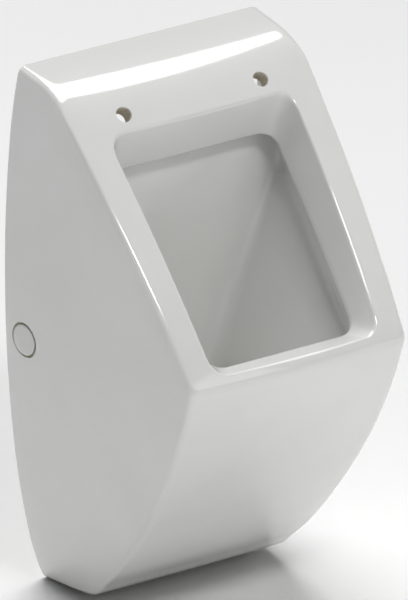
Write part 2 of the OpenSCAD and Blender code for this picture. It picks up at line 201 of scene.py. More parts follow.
def flat_ring(ct, cb, rt, rb, bow=0.0):
    ct, cb = np.asarray(ct, float), np.asarray(cb, float)
    return half_ring(ct, cb, rt, rb, lambda v: mix(ct, cb, v[:, None])
                     + (4 * bow * v * (1 - v))[:, None] * np.array([0, 0.72, -0.69]))


def face_ring(xt, dt, xb, db, rt, rb):
    p = flat_ring([xt, 0, dt], [xb, 0, db], rt, rb)
    p[:, 1] = front_f(p[:, 2], p[:, 0])
    return p


def disc_ring(r, f, d):
    t = math.pi * np.arange(N_HALF) / (N_HALF - 1)
    return np.stack([r * np.sin(t), f - r * np.cos(t), np.full(N_HALF, float(d))], 1)


def skin_ring(u, inset=0.0, back=0.0, rt=12.0, rb=10.0):
    pt, pb, k = top_line(u), low_line(u), (1 - u) ** 2

    def side(v):
        q = patch(top_line, face_line, low_line, wall_line, u, v)
        w = back * np.sin(np.pi * np.clip(v, 0, 1))
        return np.stack([flank(q[:, 0], q[:, 1]) - inset, q[:, 0] - 0.72 * w, q[:, 1] + 0.69 * w], 1)

    return half_ring([flank(*pt) - inset, pt[0], pt[1]], [flank(*pb) - inset, pb[0], pb[1]], rt, rb,
                     side, CROWN * k, CROWN * (1 - u), inset)


def inner_ring(u, rt=10.0, rb=10.0):
    pt, pb = top_in(u), low_in(u)

    def side(v):
        q = patch(top_in, face_in, low_in, wall_in, u, v)
        return np.stack([flank(q[:, 0], q[:, 1]) - IW, q[:, 0], q[:, 1]], 1)

    return half_ring([flank(*pt) - IW, pt[0], pt[1]], [flank(*pb) - IW, pb[0], pb[1]], rt, rb, side)


def through(rings, n):
    """n + 1 rings on smooth curves through the given rings."""
    R = np.stack(rings)
    if len(R) == 2:
        return [mix(R[0], R[1], t) for t in np.linspace(0, 1, n + 1)]
    d = np.r_[0, np.cumsum(np.linalg.norm(np.diff(R, axis=0), axis=2).mean(1))]
    c = Curve(d / d[-1], R.reshape(len(R), -1))
    return [c(t).reshape(-1, 3) for t in np.linspace(0, 1, n + 1)]


# Each run is (rings, rings to keep, material, fillet at its end). The end of a run is the
# start of the next, and the last run closes on the first.
bt0, bb0 = np.array([37, 77, 322.]), np.array([42, 150, 328.])
bt1, bb1 = np.array([116.5, 77, 131.]), np.array([90.5, 250, 274.])
st0, sb0 = np.array([48, 66, 331.]), np.array([53, 158, 339.])
st1, sb1 = np.array([127.5, 66, 131.]), np.array([99.5, 252, 284.])
GLAZE, INNER, BISCUIT = 0, 1, 2

bowl = [disc_ring(36.6, DRAIN_F, FLOOR_D)] + [
    flat_ring(mix(bt0, bt1, k), mix(bb0, bb1, k), mix(20, 10, k), mix(24, 15, k))
    for k in (0.0, 0.06, 0.12, 0.24, 0.35, 0.48, 0.6, 0.72, 0.82, 0.92, 1.0)] + [
    flat_ring([116, 77, 100], [91, 253, 270], 11, 16),
    flat_ring([113.5, 78, 78], [92, 257, 264], 12, 17),
    flat_ring([111, 82, 74], [92.5, 260, 259], 13, 17, 0.5),
    flat_ring([103, 89.5, 75.5], [92, 262, 255], 14, 18, 1.5)]
lip_back = flat_ring([MOUTH_T + 0.7, 83.6, 91.8], [MOUTH_B + 1.3, 255.7, 250.6], MOUTH_R + 8, MOUTH_R + 1, 2.5)
lip_front = flat_ring([MOUTH_T - 0.3, 93, 92.1], [MOUTH_B - 0.1, 259.7, 243.1], MOUTH_R + 8, MOUTH_R + 1, 3.1)
edge = skin_ring(0.0, 0, 0, 13, 8)
rim = face_ring(RIM_T, 43.5, RIM_B, 238, MOUTH_R + 2, MOUTH_R + 1)
between = []
for t in (0.15, 0.3, 0.45, 0.6, 0.75, 0.88):
    q = mix(rim, edge, t)
    q[:, 1] = front_f(q[:, 2], q[:, 0]) + t * (edge[:, 1] - front_f(edge[:, 2], edge[:, 0]))
    between.append(q)
us = np.r_[0.0, np.geomspace(0.012, 1.0, 60)]
skin = [skin_ring(u, 0, 8 * (1 - u) ** 3, mix(13, 9, u), mix(8, 5, u)) for u in us]
inner = [inner_ring(u) for u in np.linspace(1, 0, 34)]
shell = [inner_ring(0.0),
         flat_ring([119, 94, 55], [103, 264, 274], 14, 14, 14),
         flat_ring([121.5, 84, 60], [101.5, 259.5, 276], 14, 16, 10),
         flat_ring([124, 66, 64], [101, 256, 279], 16, 18, 3)] + [
    flat_ring(mix(st0, st1, k), mix(sb0, sb1, k), mix(30, 20, k), mix(32, 22, k))
    for k in (1, 0.8, 0.58, 0.35, 0.12, 0)] + [disc_ring(45, DRAIN_F, FLOOR_IN_D)]

runs = [
    ([disc_ring(DRAIN_R, DRAIN_F, FLOOR_IN_D), disc_ring(DRAIN_R, DRAIN_F, FLOOR_D)], 6, INNER, 1.6),
    ([disc_ring(DRAIN_R, DRAIN_F, FLOOR_D), disc_ring(36.6, DRAIN_F, FLOOR_D)], 6, GLAZE, 4.0),
    (bowl, 92, GLAZE, 3.0),
    ([bowl[-1], lip_back], 4, GLAZE, 4.0),
    ([lip_back, lip_front], 2, GLAZE, 3.6),
    ([lip_front, rim], 9, GLAZE, 3.2),
    ([rim] + between + [edge], 14, GLAZE, 7.5),
    (skin, 74, GLAZE, 2.6),
    ([skin_ring(1.0, 0, 0, 9, 5), inner_ring(1.0)], 5, BISCUIT, 2.2),
    (inner, 40, INNER, 5.0),
    (shell, 64, INNER, 5.0),
    ([disc_ring(45, DRAIN_F, FLOOR_IN_D), disc_ring(DRAIN_R, DRAIN_F, FLOOR_IN_D)], 6, INNER, 1.6),
]
FILLET_N = 7


def dense(rings, n):
    """The run's lines, one for each point of a ring, with many samples."""
    return np.stack(through(rings, max(3 * n, 24)))          # samples, N_HALF, 3


def cut_line(P, lo, hi, n):
    """Polyline P from length lo to length hi, in n steps."""
    s = np.r_[0, np.cumsum(np.linalg.norm(np.diff(P, axis=0), axis=1))]
    t = np.linspace(lo, s[-1] - hi, n + 1)
    return np.stack([np.interp(t, s, P[:, k]) for k in range(3)], 1)


lines = [dense(r, n) for r, n, m, f in runs]
length = [np.linalg.norm(np.diff(L, axis=0), axis=2).sum(0) for L in lines]
cut = []
for i, (r, n, m, f) in enumerate(runs):
    j = (i + 1) % len(runs)
    cut.append(np.minimum(f, 0.45 * np.minimum(length[i], length[j])))
out, mats = [], []
for i, (r, n, m, f) in enumerate(runs):
    L = lines[i]
    start, end = cut[i - 1], cut[i]
    body = np.stack([cut_line(L[:, q], start[q], end[q], n) for q in range(N_HALF)], 1)
    out.append((body, m))
rows, row_mat = [], []
for i in range(len(runs)):
    body, m = out[i]
    nxt, m2 = out[(i + 1) % len(runs)]
    corner = lines[i][-1]
    for q in range(len(body)):
        rows.append(body[q])
        row_mat.append(m)
    for q in range(1, FILLET_N):
        t = q / FILLET_N
        rows.append((1 - t) ** 2 * body[-1] + 2 * t * (1 - t) * corner + t * t * nxt[0])
        row_mat.append(m if t < 0.5 else m2)
rows = np.stack(rows)                                      # rings, N_HALF, 3
full = np.concatenate([rows, rows[:, -2:0:-1] * np.array([-1, 1, 1])], 1)
co = np.stack([full[..., 0], -full[..., 1], 280 - full[..., 2]], -1) / 1000
nr, nc = co.shape[:2]
idx = np.arange(nr * nc).reshape(nr, nc)
A, B = idx, np.roll(idx, -1, 1)
C, D = np.roll(idx, -1, 0), np.roll(np.roll(idx, -1, 0), -1, 1)
quads = np.stack([A, B, D, C], -1).reshape(-1, 4)
face_mat = np.repeat(np.array(row_mat), nc)


def new_mesh(name, verts, faces, mat_index=None):
    me = bpy.data.meshes.new(name)
    me.vertices.add(len(verts))
    me.vertices.foreach_set("co", np.asarray(verts, np.float32).ravel())
    faces = np.asarray(faces)
    me.loops.add(faces.size)
    me.loops.foreach_set("vertex_index", faces.ravel().astype(np.int32))
    me.polygons.add(len(faces))
    me.polygons.foreach_set("loop_start", np.arange(0, faces.size, faces.shape[1], dtype=np.int32))
    if mat_index is not None:
        me.polygons.foreach_set("material_index", np.asarray(mat_index, np.int32))
    me.update()
    me.validate()
    return me


body_me = new_mesh("ceramic", co.reshape(-1, 3), quads, face_mat)
print("ceramic", nr, nc, len(body_me.polygons))


# ---------------------------------------------------------------------------
# Materials. Every one is made of nodes that work from object coordinates, in metres.
def material(name):
    m = bpy.data.materials.new(name)
    m.use_nodes = True
    nt = m.node_tree
    nt.nodes.clear()
    out_node = nt.nodes.new("ShaderNodeOutputMaterial")
    bsdf = nt.nodes.new("ShaderNodeBsdfPrincipled")
    nt.links.new(bsdf.outputs[0], out_node.inputs[0])
    tc = nt.nodes.new("ShaderNodeTexCoord")
    return m, nt, bsdf, tc.outputs["Object"]


def noise(nt, vec, scale, detail=4.0, rough=0.55, distortion=0.0, stretch=None):
    if stretch is not None:
        mp = nt.nodes.new("ShaderNodeMapping")
        mp.inputs["Scale"].default_value = stretch
        nt.links.new(vec, mp.inputs["Vector"])
        vec = mp.outputs[0]
    n = nt.nodes.new("ShaderNodeTexNoise")
    n.inputs["Scale"].default_value = scale
    n.inputs["Detail"].default_value = detail
    n.inputs["Roughness"].default_value = rough
    n.inputs["Distortion"].default_value = distortion
    nt.links.new(vec, n.inputs["Vector"])
    return n.outputs["Fac"]


def ramp(nt, fac, stops):
    r = nt.nodes.new("ShaderNodeValToRGB")
    el = r.color_ramp.elements
    while len(el) > 1:
        el.remove(el[-1])
    for i, (pos, col) in enumerate(stops):
        if i == 0:
            el[0].position = pos
        else:
            el.new(pos)
        el[i].color = (*col, 1.0) if hasattr(col, "__len__") else (col, col, col, 1.0)
    nt.links.new(fac, r.inputs[0])
    return r.outputs[0]


def span(nt, fac, a0, a1, b0, b1):
    r = nt.nodes.new("ShaderNodeMapRange")
    for k, v in zip(("From Min", "From Max", "To Min", "To Max"), (a0, a1, b0, b1)):
        r.inputs[k].default_value = v
    nt.links.new(fac, r.inputs["Value"])
    return r.outputs["Result"]


def mixc(nt, fac, c1, c2, kind="MIX"):
    m = nt.nodes.new("ShaderNodeMix")
    m.data_type = "RGBA"
    m.blend_type = kind
    for sock, v in ((m.inputs[0], fac), (m.inputs[6], c1), (m.inputs[7], c2)):
        if isinstance(v, bpy.types.NodeSocket):
            nt.links.new(v, sock)
        elif hasattr(v, "__len__"):
            sock.default_value = (*v, 1.0)
        else:
            sock.default_value = v
    return m.outputs[2]


def math_node(nt, op, x, y=None):
    m = nt.nodes.new("ShaderNodeMath")
    m.operation = op
    for sock, v in ((m.inputs[0], x), (m.inputs[1], y)):
        if v is None:
            continue
        if isinstance(v, bpy.types.NodeSocket):
            nt.links.new(v, sock)
        else:
            sock.default_value = v
    return m.outputs[0]


def bumped(nt, bsdf, layers):
    """layers: (height, strength, distance in metres)."""
    last = None
    for h, strength, distance in layers:
        b = nt.nodes.new("ShaderNodeBump")
        b.inputs["Strength"].default_value = strength
        b.inputs["Distance"].default_value = distance
        nt.links.new(h, b.inputs["Height"])
        if last is not None:
            nt.links.new(last, b.inputs["Normal"])
        last = b.outputs[0]
    nt.links.new(last, bsdf.inputs["Normal"])


def edge_wear(nt):
    g = nt.nodes.new("ShaderNodeNewGeometry")
    return g.outputs["Pointiness"]


def make_glaze():
    m, nt, b, oc = material("white_glaze")
    cloud = noise(nt, oc, 7.0, 5, 0.5, 0.3)
    fine = noise(nt, oc, 45.0, 2, 0.5)
    speck = noise(nt, oc, 900.0, 2, 0.5)
    col = ramp(nt, cloud, [(0.30, (0.782, 0.785, 0.768)), (0.70, (0.820, 0.824, 0.812))])
    thin = span(nt, edge_wear(nt), 0.50, 0.62, 0.0, 0.30)
    col = mixc(nt, thin, col, (0.755, 0.74, 0.70))
    dots = span(nt, speck, 0.735, 0.80, 0.0, 0.30)
    col = mixc(nt, dots, col, (0.66, 0.63, 0.57))
    nt.links.new(col, b.inputs["Base Color"])
    nt.links.new(span(nt, fine, 0.3, 0.7, 0.086, 0.102), b.inputs["Roughness"])
    b.inputs["IOR"].default_value = 1.52
    b.inputs["Coat Weight"].default_value = 0.6
    b.inputs["Coat Roughness"].default_value = 0.06
    b.inputs["Subsurface Weight"].default_value = 0.0
    wave = noise(nt, oc, 26.0, 2, 0.4)
    peel = noise(nt, oc, 230.0, 3, 0.5)
    bumped(nt, b, [(wave, 0.30, 0.00018), (peel, 0.05, 0.00002)])
    return m


def make_inner():
    """The unseen side: a thinner, uneven coat over the cream body, with runs down the wall."""
    m, nt, b, oc = material("inner_glaze")
    cloud = noise(nt, oc, 9.0, 5, 0.55, 0.3)
    runs_ = noise(nt, oc, 34.0, 3, 0.5, 0.35, stretch=(1.0, 1.0, 0.10))
    patchy = noise(nt, oc, 75.0, 5, 0.6)
    speck = noise(nt, oc, 620.0, 2, 0.5)
    f = span(nt, math_node(nt, "ADD", cloud, runs_), 0.84, 1.14, 0.0, 1.0)
    col = mixc(nt, f, (0.735, 0.715, 0.665), (0.815, 0.812, 0.79))
    col = mixc(nt, span(nt, patchy, 0.42, 0.72, 0.0, 0.13), col, (0.64, 0.60, 0.53))
    col = mixc(nt, span(nt, speck, 0.70, 0.78, 0.0, 0.45), col, (0.50, 0.45, 0.38))
    nt.links.new(col, b.inputs["Base Color"])
    r = math_node(nt, "SUBTRACT", 0.58, math_node(nt, "MULTIPLY", f, 0.30))
    nt.links.new(r, b.inputs["Roughness"])
    b.inputs["IOR"].default_value = 1.5
    grain = noise(nt, oc, 420.0, 4, 0.6)
    bumped(nt, b, [(runs_, 0.40, 0.0014), (patchy, 0.22, 0.0005), (grain, 0.25, 0.00016)])
    return m


def make_biscuit():
    m, nt, b, oc = material("biscuit")
    cloud = noise(nt, oc, 30.0, 6, 0.65)
    grain = noise(nt, oc, 900.0, 4, 0.7)
    col = ramp(nt, cloud, [(0.30, (0.60, 0.55, 0.46)), (0.52, (0.70, 0.66, 0.575)), (0.75, (0.76, 0.73, 0.66))])
    col = mixc(nt, span(nt, grain, 0.55, 0.8, 0.0, 0.5), col, (0.50, 0.45, 0.37))
    nt.links.new(col, b.inputs["Base Color"])
    b.inputs["Roughness"].default_value = 0.88
    bumped(nt, b, [(cloud, 0.25, 0.0008), (grain, 0.6, 0.0002)])
    return m


def make_plastic(name, c0, c1, rough, grain_scale=650.0, grain=0.22, smear=0.0):
    m, nt, b, oc = material(name)
    cloud = noise(nt, oc, 24.0, 4, 0.55)
    g = noise(nt, oc, grain_scale, 3, 0.6)
    flow = noise(nt, oc, 40.0, 3, 0.5, 1.2)
    col = ramp(nt, cloud, [(0.30, c0), (0.70, c1)])
    wear = span(nt, edge_wear(nt), 0.52, 0.64, 0.0, 0.35)
    lighter = tuple(min(1.0, c * 1.16 + 0.02) for c in c1)
    col = mixc(nt, wear, col, lighter)
    if smear:
        dust = span(nt, flow, 0.50, 0.75, 0.0, smear)
        col = mixc(nt, dust, col, (0.42, 0.40, 0.36))
    nt.links.new(col, b.inputs["Base Color"])
    nt.links.new(span(nt, math_node(nt, "ADD", g, flow), 0.7, 1.3, rough - 0.05, rough + 0.09), b.inputs["Roughness"])
    b.inputs["IOR"].default_value = 1.49
    bumped(nt, b, [(flow, 0.12, 0.0006), (g, grain, 0.00009)])
    return m


def make_rubber():
    m, nt, b, oc = material("rubber")
    cloud = noise(nt, oc, 60.0, 5, 0.6)
    g = noise(nt, oc, 1100.0, 3, 0.6)
    col = ramp(nt, cloud, [(0.35, (0.022, 0.022, 0.024)), (0.62, (0.040, 0.040, 0.042)), (0.80, (0.085, 0.082, 0.076))])
    nt.links.new(col, b.inputs["Base Color"])
    nt.links.new(span(nt, cloud, 0.3, 0.7, 0.50, 0.72), b.inputs["Roughness"])
    bumped(nt, b, [(g, 0.35, 0.00012)])
    return m


def radius_from(nt, oc, x, y):
    """Distance from the upright axis at (x, y)."""
    sep = nt.nodes.new("ShaderNodeSeparateXYZ")
    nt.links.new(oc, sep.inputs[0])
    dx = math_node(nt, "SUBTRACT", sep.outputs[0], x)
    dy = math_node(nt, "SUBTRACT", sep.outputs[1], y)
    r2 = math_node(nt, "ADD", math_node(nt, "MULTIPLY", dx, dx), math_node(nt, "MULTIPLY", dy, dy))
    return math_node(nt, "SQRT", r2), sep.outputs[2]


def make_stainless():
    m, nt, b, oc = material("stainless")
    r, z = radius_from(nt, oc, 0.0, -0.112)
    comb = nt.nodes.new("ShaderNodeCombineXYZ")
    nt.links.new(math_node(nt, "MULTIPLY", r, 1.0), comb.inputs[0])
    nt.links.new(z, comb.inputs[1])
    rings_ = noise(nt, comb.outputs[0], 3600.0, 3, 0.7)
    cloud = noise(nt, oc, 70.0, 5, 0.6)
    b.inputs["Metallic"].default_value = 1.0
    col = mixc(nt, span(nt, cloud, 0.35, 0.75, 0.0, 1.0), (0.60, 0.60, 0.595), (0.71, 0.70, 0.685))
    col = mixc(nt, span(nt, noise(nt, oc, 260.0, 4, 0.6), 0.62, 0.78, 0.0, 0.35), col, (0.47, 0.46, 0.43))
    nt.links.new(col, b.inputs["Base Color"])
    nt.links.new(span(nt, rings_, 0.25, 0.75, 0.17, 0.34), b.inputs["Roughness"])
    bumped(nt, b, [(rings_, 0.30, 0.00005), (cloud, 0.05, 0.0005)])
    return m


def make_zinc():
    m, nt, b, oc = material("zinc_steel")
    cloud = noise(nt, oc, 120.0, 5, 0.6, 0.5)
    spangle = nt.nodes.new("ShaderNodeTexVoronoi")
    spangle.inputs["Scale"].default_value = 420.0
    nt.links.new(oc, spangle.inputs["Vector"])
    g = noise(nt, oc, 1400.0, 3, 0.6)
    b.inputs["Metallic"].default_value = 1.0
    col = ramp(nt, cloud, [(0.30, (0.56, 0.58, 0.63)), (0.55, (0.66, 0.67, 0.68)), (0.75, (0.70, 0.67, 0.58))])
    nt.links.new(col, b.inputs["Base Color"])
    nt.links.new(span(nt, spangle.outputs["Distance"], 0.0, 0.8, 0.26, 0.42), b.inputs["Roughness"])
    bumped(nt, b, [(g, 0.25, 0.00006)])
    return m


def make_brass():
    m, nt, b, oc = material("brass")
    cloud = noise(nt, oc, 90.0, 5, 0.6, 0.4)
    turn = noise(nt, oc, 2400.0, 2, 0.6, stretch=(0.02, 1.0, 0.02))
    b.inputs["Metallic"].default_value = 1.0
    col = ramp(nt, cloud, [(0.28, (0.50, 0.34, 0.15)), (0.50, (0.73, 0.54, 0.26)), (0.75, (0.80, 0.62, 0.33))])
    nt.links.new(col, b.inputs["Base Color"])
    nt.links.new(span(nt, math_node(nt, "ADD", cloud, turn), 0.7, 1.3, 0.22, 0.40), b.inputs["Roughness"])
    bumped(nt, b, [(turn, 0.3, 0.00006)])
    return m


M = {
    "white_glaze": make_glaze(),
    "cap_white": make_plastic("cap_white", (0.755, 0.757, 0.742), (0.80, 0.802, 0.79), 0.16, 900.0, 0.06),
    "white_plastic": make_plastic("white_plastic", (0.70, 0.71, 0.70), (0.77, 0.775, 0.765), 0.36, 650.0, 0.25, 0.25),
    "grey_plastic": make_plastic("grey_plastic", (0.150, 0.158, 0.162), (0.19, 0.20, 0.205), 0.42, 600.0, 0.30, 0.30),
    "rubber": make_rubber(),
    "stainless": make_stainless(),
    "zinc_steel": make_zinc(),
    "brass": make_brass(),
}
m_inner, m_biscuit = make_inner(), make_biscuit()

# ---------------------------------------------------------------------------
# The ceramic piece, with its round holes cut
for m in (M["white_glaze"], m_inner, m_biscuit):
    body_me.materials.append(m)
body = bpy.data.objects.new("ceramic_shell", body_me)
scene.collection.objects.link(body)
tree = BVHTree.FromPolygons([tuple(v) for v in co.reshape(-1, 3).tolist()], quads.tolist())


def frame_at(axis):
    z = Vector(axis).normalized()
    x = z.orthogonal().normalized() if abs(z.z) > 0.99 else Vector((0, 0, 1)).cross(z).normalized()
    return x, z.cross(x), z


def cutter(name, centre, axis, r, depth, flare=0.0, n=96, above=0.02, steps=8, seat=None):
    """A round cutter along axis. Its upper edge meets the surface in a soft curve if flare is given.
    seat is the radius and depth of a wider part at the top."""
    x, y, z = frame_at(axis)
    c = Vector(centre)
    prof = []
    for k in range(n):
        th = 2 * math.pi * k / n
        d = x * math.cos(th) + y * math.sin(th)
        line = []
        if flare:
            def height(rad):
                o = c + d * rad + z * 0.02
                hit = tree.ray_cast(o, -z)
                return 0.02 - (hit[0] - o).length
            line.append((r, -depth))
            top = r
            if seat:
                top, low = seat
                line += [(r, -low), (top - 0.0005, -low), (top - 0.00015, -low + 0.00015), (top, -low + 0.0005)]
            h1, h2 = height(top), height(top + flare)
            p0, p1, p2 = (top, h1 - flare), (top, h1 + 0.1 * flare), (top + flare, h2 + 0.35 * flare)
            for q in range(steps + 1):
                t = q / steps
                line.append(tuple((1-t)**2 * p0[i] + 2*t*(1-t) * p1[i] + t*t * p2[i] for i in range(2)))
            sl = (h2 - h1) / flare
            line.append((top + flare + 0.0012, h2 + 0.35 * flare + (sl + 0.3) * 0.0012))
            line.append((top + flare + 0.0012, above))
        else:
            line = [(r, -depth), (r, above)]
        prof.append([c + d * a + z * b for a, b in line])
    rows_ = len(prof[0])
    verts = [prof[k][i] for i in range(rows_) for k in range(n)]
    faces = [(i * n + k, i * n + (k + 1) % n, (i + 1) * n + (k + 1) % n, (i + 1) * n + k)
             for i in range(rows_ - 1) for k in range(n)]
    faces.append(tuple(range(n - 1, -1, -1)))
    faces.append(tuple((rows_ - 1) * n + k for k in range(n)))
    me = bpy.data.meshes.new(name)
    me.from_pydata([tuple(v) for v in verts], [], faces)
    for m_ in (M["white_glaze"], m_inner, m_biscuit):
        me.materials.append(m_)
    plain = (4 if seat else 1) if flare else rows_ - 1
    for k_, q_ in enumerate(me.polygons):
        q_.material_index = BISCUIT if k_ < plain * n else GLAZE
    o = bpy.data.objects.new(name, me)
    scene.collection.objects.link(o)
    return o


FACE_T = math.radians(43.8)
SIDE_T = math.radians(6.43568)
hinge_axis = (0.0, -math.sin(FACE_T), math.cos(FACE_T))
cuts = []
for sx in (-1, 1):
    cuts.append(cutter("cut_hinge", (sx * 0.080, -0.097878, 0.2495), hinge_axis, 0.008, 0.022, 0.0014))
    cuts.append(cutter("cut_side", (sx * 0.153714, -0.0295, 0.0), (sx * math.cos(SIDE_T), -math.sin(SIDE_T), 0),
                       0.014, 0.024, 0.0006, n=128, seat=(0.0184, 0.0034)))
cuts.append(cutter("cut_inlet", (0, -0.085, 0.1943), (0, 1, 0), 0.010, 0.0, 0, 64, 0.030))
group = bpy.data.collections.new("cutters")
scene.collection.children.link(group)
for o in cuts:
    scene.collection.objects.unlink(o)
    group.objects.link(o)
mod = body.modifiers.new("holes", "BOOLEAN")
mod.operation = "DIFFERENCE"
mod.operand_type = "COLLECTION"
mod.collection = group
mod.solver = "MANIFOLD"
bpy.context.view_layer.update()
dg = bpy.context.evaluated_depsgraph_get()
cut_me = bpy.data.meshes.new_from_object(body.evaluated_get(dg))
body.modifiers.clear()
body.data = cut_me
for o in cuts:
    me = o.data
    bpy.data.objects.remove(o)
    bpy.data.meshes.remove(me)
bpy.data.collections.remove(group)
bm = bmesh.new()
bm.from_mesh(cut_me)
bmesh.ops.remove_doubles(bm, verts=bm.verts, dist=1e-5)
bmesh.ops.dissolve_degenerate(bm, edges=bm.edges, dist=1e-5)
bm.to_mesh(cut_me)
bm.free()
print("after holes", len(cut_me.polygons), "loose", sum(1 for p_ in cut_me.polygons if p_.area < 1e-12))
for p_ in cut_me.polygons:
    p_.use_smooth = True
cut_me.set_sharp_from_angle(angle=math.radians(38))
body.name = "ceramic_shell"
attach(body, "root")
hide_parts("ceramic_body")

slot_of = {s_["node"]: s_["material_slot"] for s_ in frame["record"]["subparts"]}

# ---------------------------------------------------------------------------
# Turned and moulded pieces. Profiles are [radius, height] in mm along the piece's own axis.
def rounded(prof, rad, seg=4):
    """The profile, a closed loop, with its corners turned into soft curves."""
    P = np.asarray(prof, float)
    rad = np.broadcast_to(np.asarray(rad, float), (len(P),))
    line = []
    for i, p in enumerate(P):
        u, v = P[i - 1] - p, P[(i + 1) % len(P)] - p
        lu, lv = np.linalg.norm(u), np.linalg.norm(v)
        c = float(np.clip(u @ v / (lu * lv), -1, 1))
        if p[0] < 1e-6 or rad[i] <= 0 or c < -0.995:
            line.append(p)
            continue
        t = min(rad[i] / math.tan(math.acos(c) / 2 + 1e-9), 0.46 * lu, 0.46 * lv)
        q0, q1 = p + u / lu * t, p + v / lv * t
        for k in range(seg + 1):
            s_ = k / seg
            line.append((1 - s_) ** 2 * q0 + 2 * s_ * (1 - s_) * p + s_ * s_ * q1)
    return np.array(line)


def finer(line, step):
    """The closed loop with extra points, so that no step is longer than this."""
    more = []
    for i, p in enumerate(line):
        q = line[(i + 1) % len(line)]
        k = 1 if p[0] < 1e-6 and q[0] < 1e-6 else max(1, math.ceil(np.linalg.norm(q - p) / step))
        more += [p + (q - p) * j / k for j in range(k)]
    return np.array(more)


def smooth(x, lo_, hi_):
    t = np.clip((x - lo_) / (hi_ - lo_), 0, 1)
    return t * t * (3 - 2 * t)


def ribs(count, proud, z0, z1, width, base, ease=0.5, phase=0.0):
    """Upright grip ribs on the part of a wall that is at least base from the axis."""
    def f(th, r, z):
        arc = np.abs(((th - phase) * count / (2 * math.pi) + 0.5) % 1.0 - 0.5) * 2 * math.pi * r / count
        w = 1 - smooth(arc, width / 2 - ease / 2, width / 2 + ease / 2)
        return r + np.where(r >= base - 0.06, proud * w * smooth(z, z0, z0 + 1.1) * (1 - smooth(z, z1 - 1.1, z1)), 0)
    return f


def rib_angles(count, width, r, ease=0.5, between=5, phase=0.0):
    half_w, pitch_w = width / 2 / r, 2 * math.pi / count
    e2 = ease / 2 / r
    own = [-half_w - e2, -half_w - e2 * 0.3, -half_w + e2 * 0.3, -half_w + e2, half_w - e2, half_w - e2 * 0.3,
           half_w + e2 * 0.3, half_w + e2]
    gap0, gap1 = half_w + e2, pitch_w - half_w - e2
    own += [gap0 + (gap1 - gap0) * (k + 1) / (between + 1) for k in range(between)]
    return np.sort(np.array([(phase + i * pitch_w + a_) for i in range(count) for a_ in own]))


def hexagon(across, base, z0, z1, phase=0.0):
    """A hexagon with turned-off corners on the part of a wall at least base from the axis."""
    flat = across / 2

    def f(th, r, z):
        a_ = (th - phase) % (math.pi / 3) - math.pi / 6
        side = np.minimum(flat / np.cos(a_), flat / math.cos(math.pi / 6) - 0.12)
        cone = flat * 1.012 + np.maximum(np.minimum(z - z0, z1 - z), 0) * 1.75
        return np.where(r >= base - 0.02, np.minimum(side, cone), r)
    return f


def lathe(line, place, thetas=96, shape=None):
    """Vertices and faces of the closed loop turned round the axis of place."""
    th = np.arange(thetas) * 2 * math.pi / thetas if np.isscalar(thetas) else np.asarray(thetas)
    n, mrows = len(th), len(line)
    r = np.repeat(line[:, 0][:, None], n, 1)
    z = np.repeat(line[:, 1][:, None], n, 1)
    t = np.repeat(th[None, :], mrows, 0)
    if shape is not None:
        r = shape(t, r, z)
    pole = line[:, 0] < 1e-6
    ids, verts, faces = [], [], []
    for i in range(mrows):
        if pole[i]:
            ids.append([len(verts)] * n)
            verts.append((0.0, 0.0, line[i, 1]))
        else:
            ids.append(list(range(len(verts), len(verts) + n)))
            verts += list(zip(r[i] * np.cos(th), r[i] * np.sin(th), z[i]))
    for i in range(mrows):
        j = (i + 1) % mrows
        if pole[i] and pole[j]:
            continue
        for k in range(n):
            l = (k + 1) % n
            f = [ids[i][k], ids[i][l], ids[j][l], ids[j][k]]
            if pole[i]:
                f = [f[0], f[2], f[3]]
            elif pole[j]:
                f = [f[0], f[1], f[2]]
            faces.append(f)
    nxt_ = np.roll(line, -1, 0)
    if (line[:, 0] * nxt_[:, 1] - nxt_[:, 0] * line[:, 1]).sum() < 0:
        faces = [f[::-1] for f in faces]
    v = np.array(verts) / 1000
    m_ = np.array(place)
    return (v @ m_[:3, :3].T + m_[:3, 3]), faces


def rounded_box(size, place, r=1.0, seg=3):
    """Vertices and faces of a box with soft edges; size in mm, place at its centre."""
    b = bmesh.new()
    bmesh.ops.create_cube(b, size=1.0)
    for v in b.verts:
        v.co = Vector([v.co[k] * size[k] for k in range(3)])
    bmesh.ops.bevel(b, geom=list(b.edges), offset=r, segments=seg, profile=0.5, affect="EDGES", clamp_overlap=True)
    v = np.array([tuple(q.co) for q in b.verts]) / 1000
    faces = [[w.index for w in f.verts] for f in b.faces]
    b.free()
    m_ = np.array(place)
    return (v @ m_[:3, :3].T + m_[:3, 3]), faces


def slab(w, h, corner, depth, place, r=1.0, seg=4):
    """Vertices and faces of a plate with round corners and soft edges, from z = 0 to z = depth."""
    def outline(inset, z):
        c = corner - inset
        pts = []
        for q, (sx, sy) in enumerate(((1, 1), (-1, 1), (-1, -1), (1, -1))):
            for k in range(9):
                t = math.pi / 2 * (q + k / 8)
                pts.append((sx * (w / 2 - corner) + c * math.cos(t), sy * (h / 2 - corner) + c * math.sin(t), z))
        return pts
    rows_ = [outline(r * (1 - math.sin(math.pi / 2 * k / seg)), r * (1 - math.cos(math.pi / 2 * k / seg)))
             for k in range(seg + 1)]
    rows_ += [outline(r * (1 - math.cos(math.pi / 2 * k / seg)), depth - r * (1 - math.sin(math.pi / 2 * k / seg)))
              for k in range(seg + 1)]
    n = len(rows_[0])
    v = np.array([q for row in rows_ for q in row]) / 1000
    faces = [[i * n + k, i * n + (k + 1) % n, (i + 1) * n + (k + 1) % n, (i + 1) * n + k]
             for i in range(len(rows_) - 1) for k in range(n)]
    faces += [list(range(n - 1, -1, -1)), [(len(rows_) - 1) * n + k for k in range(n)]]
    m_ = np.array(place)
    return (v @ m_[:3, :3].T + m_[:3, 3]), faces


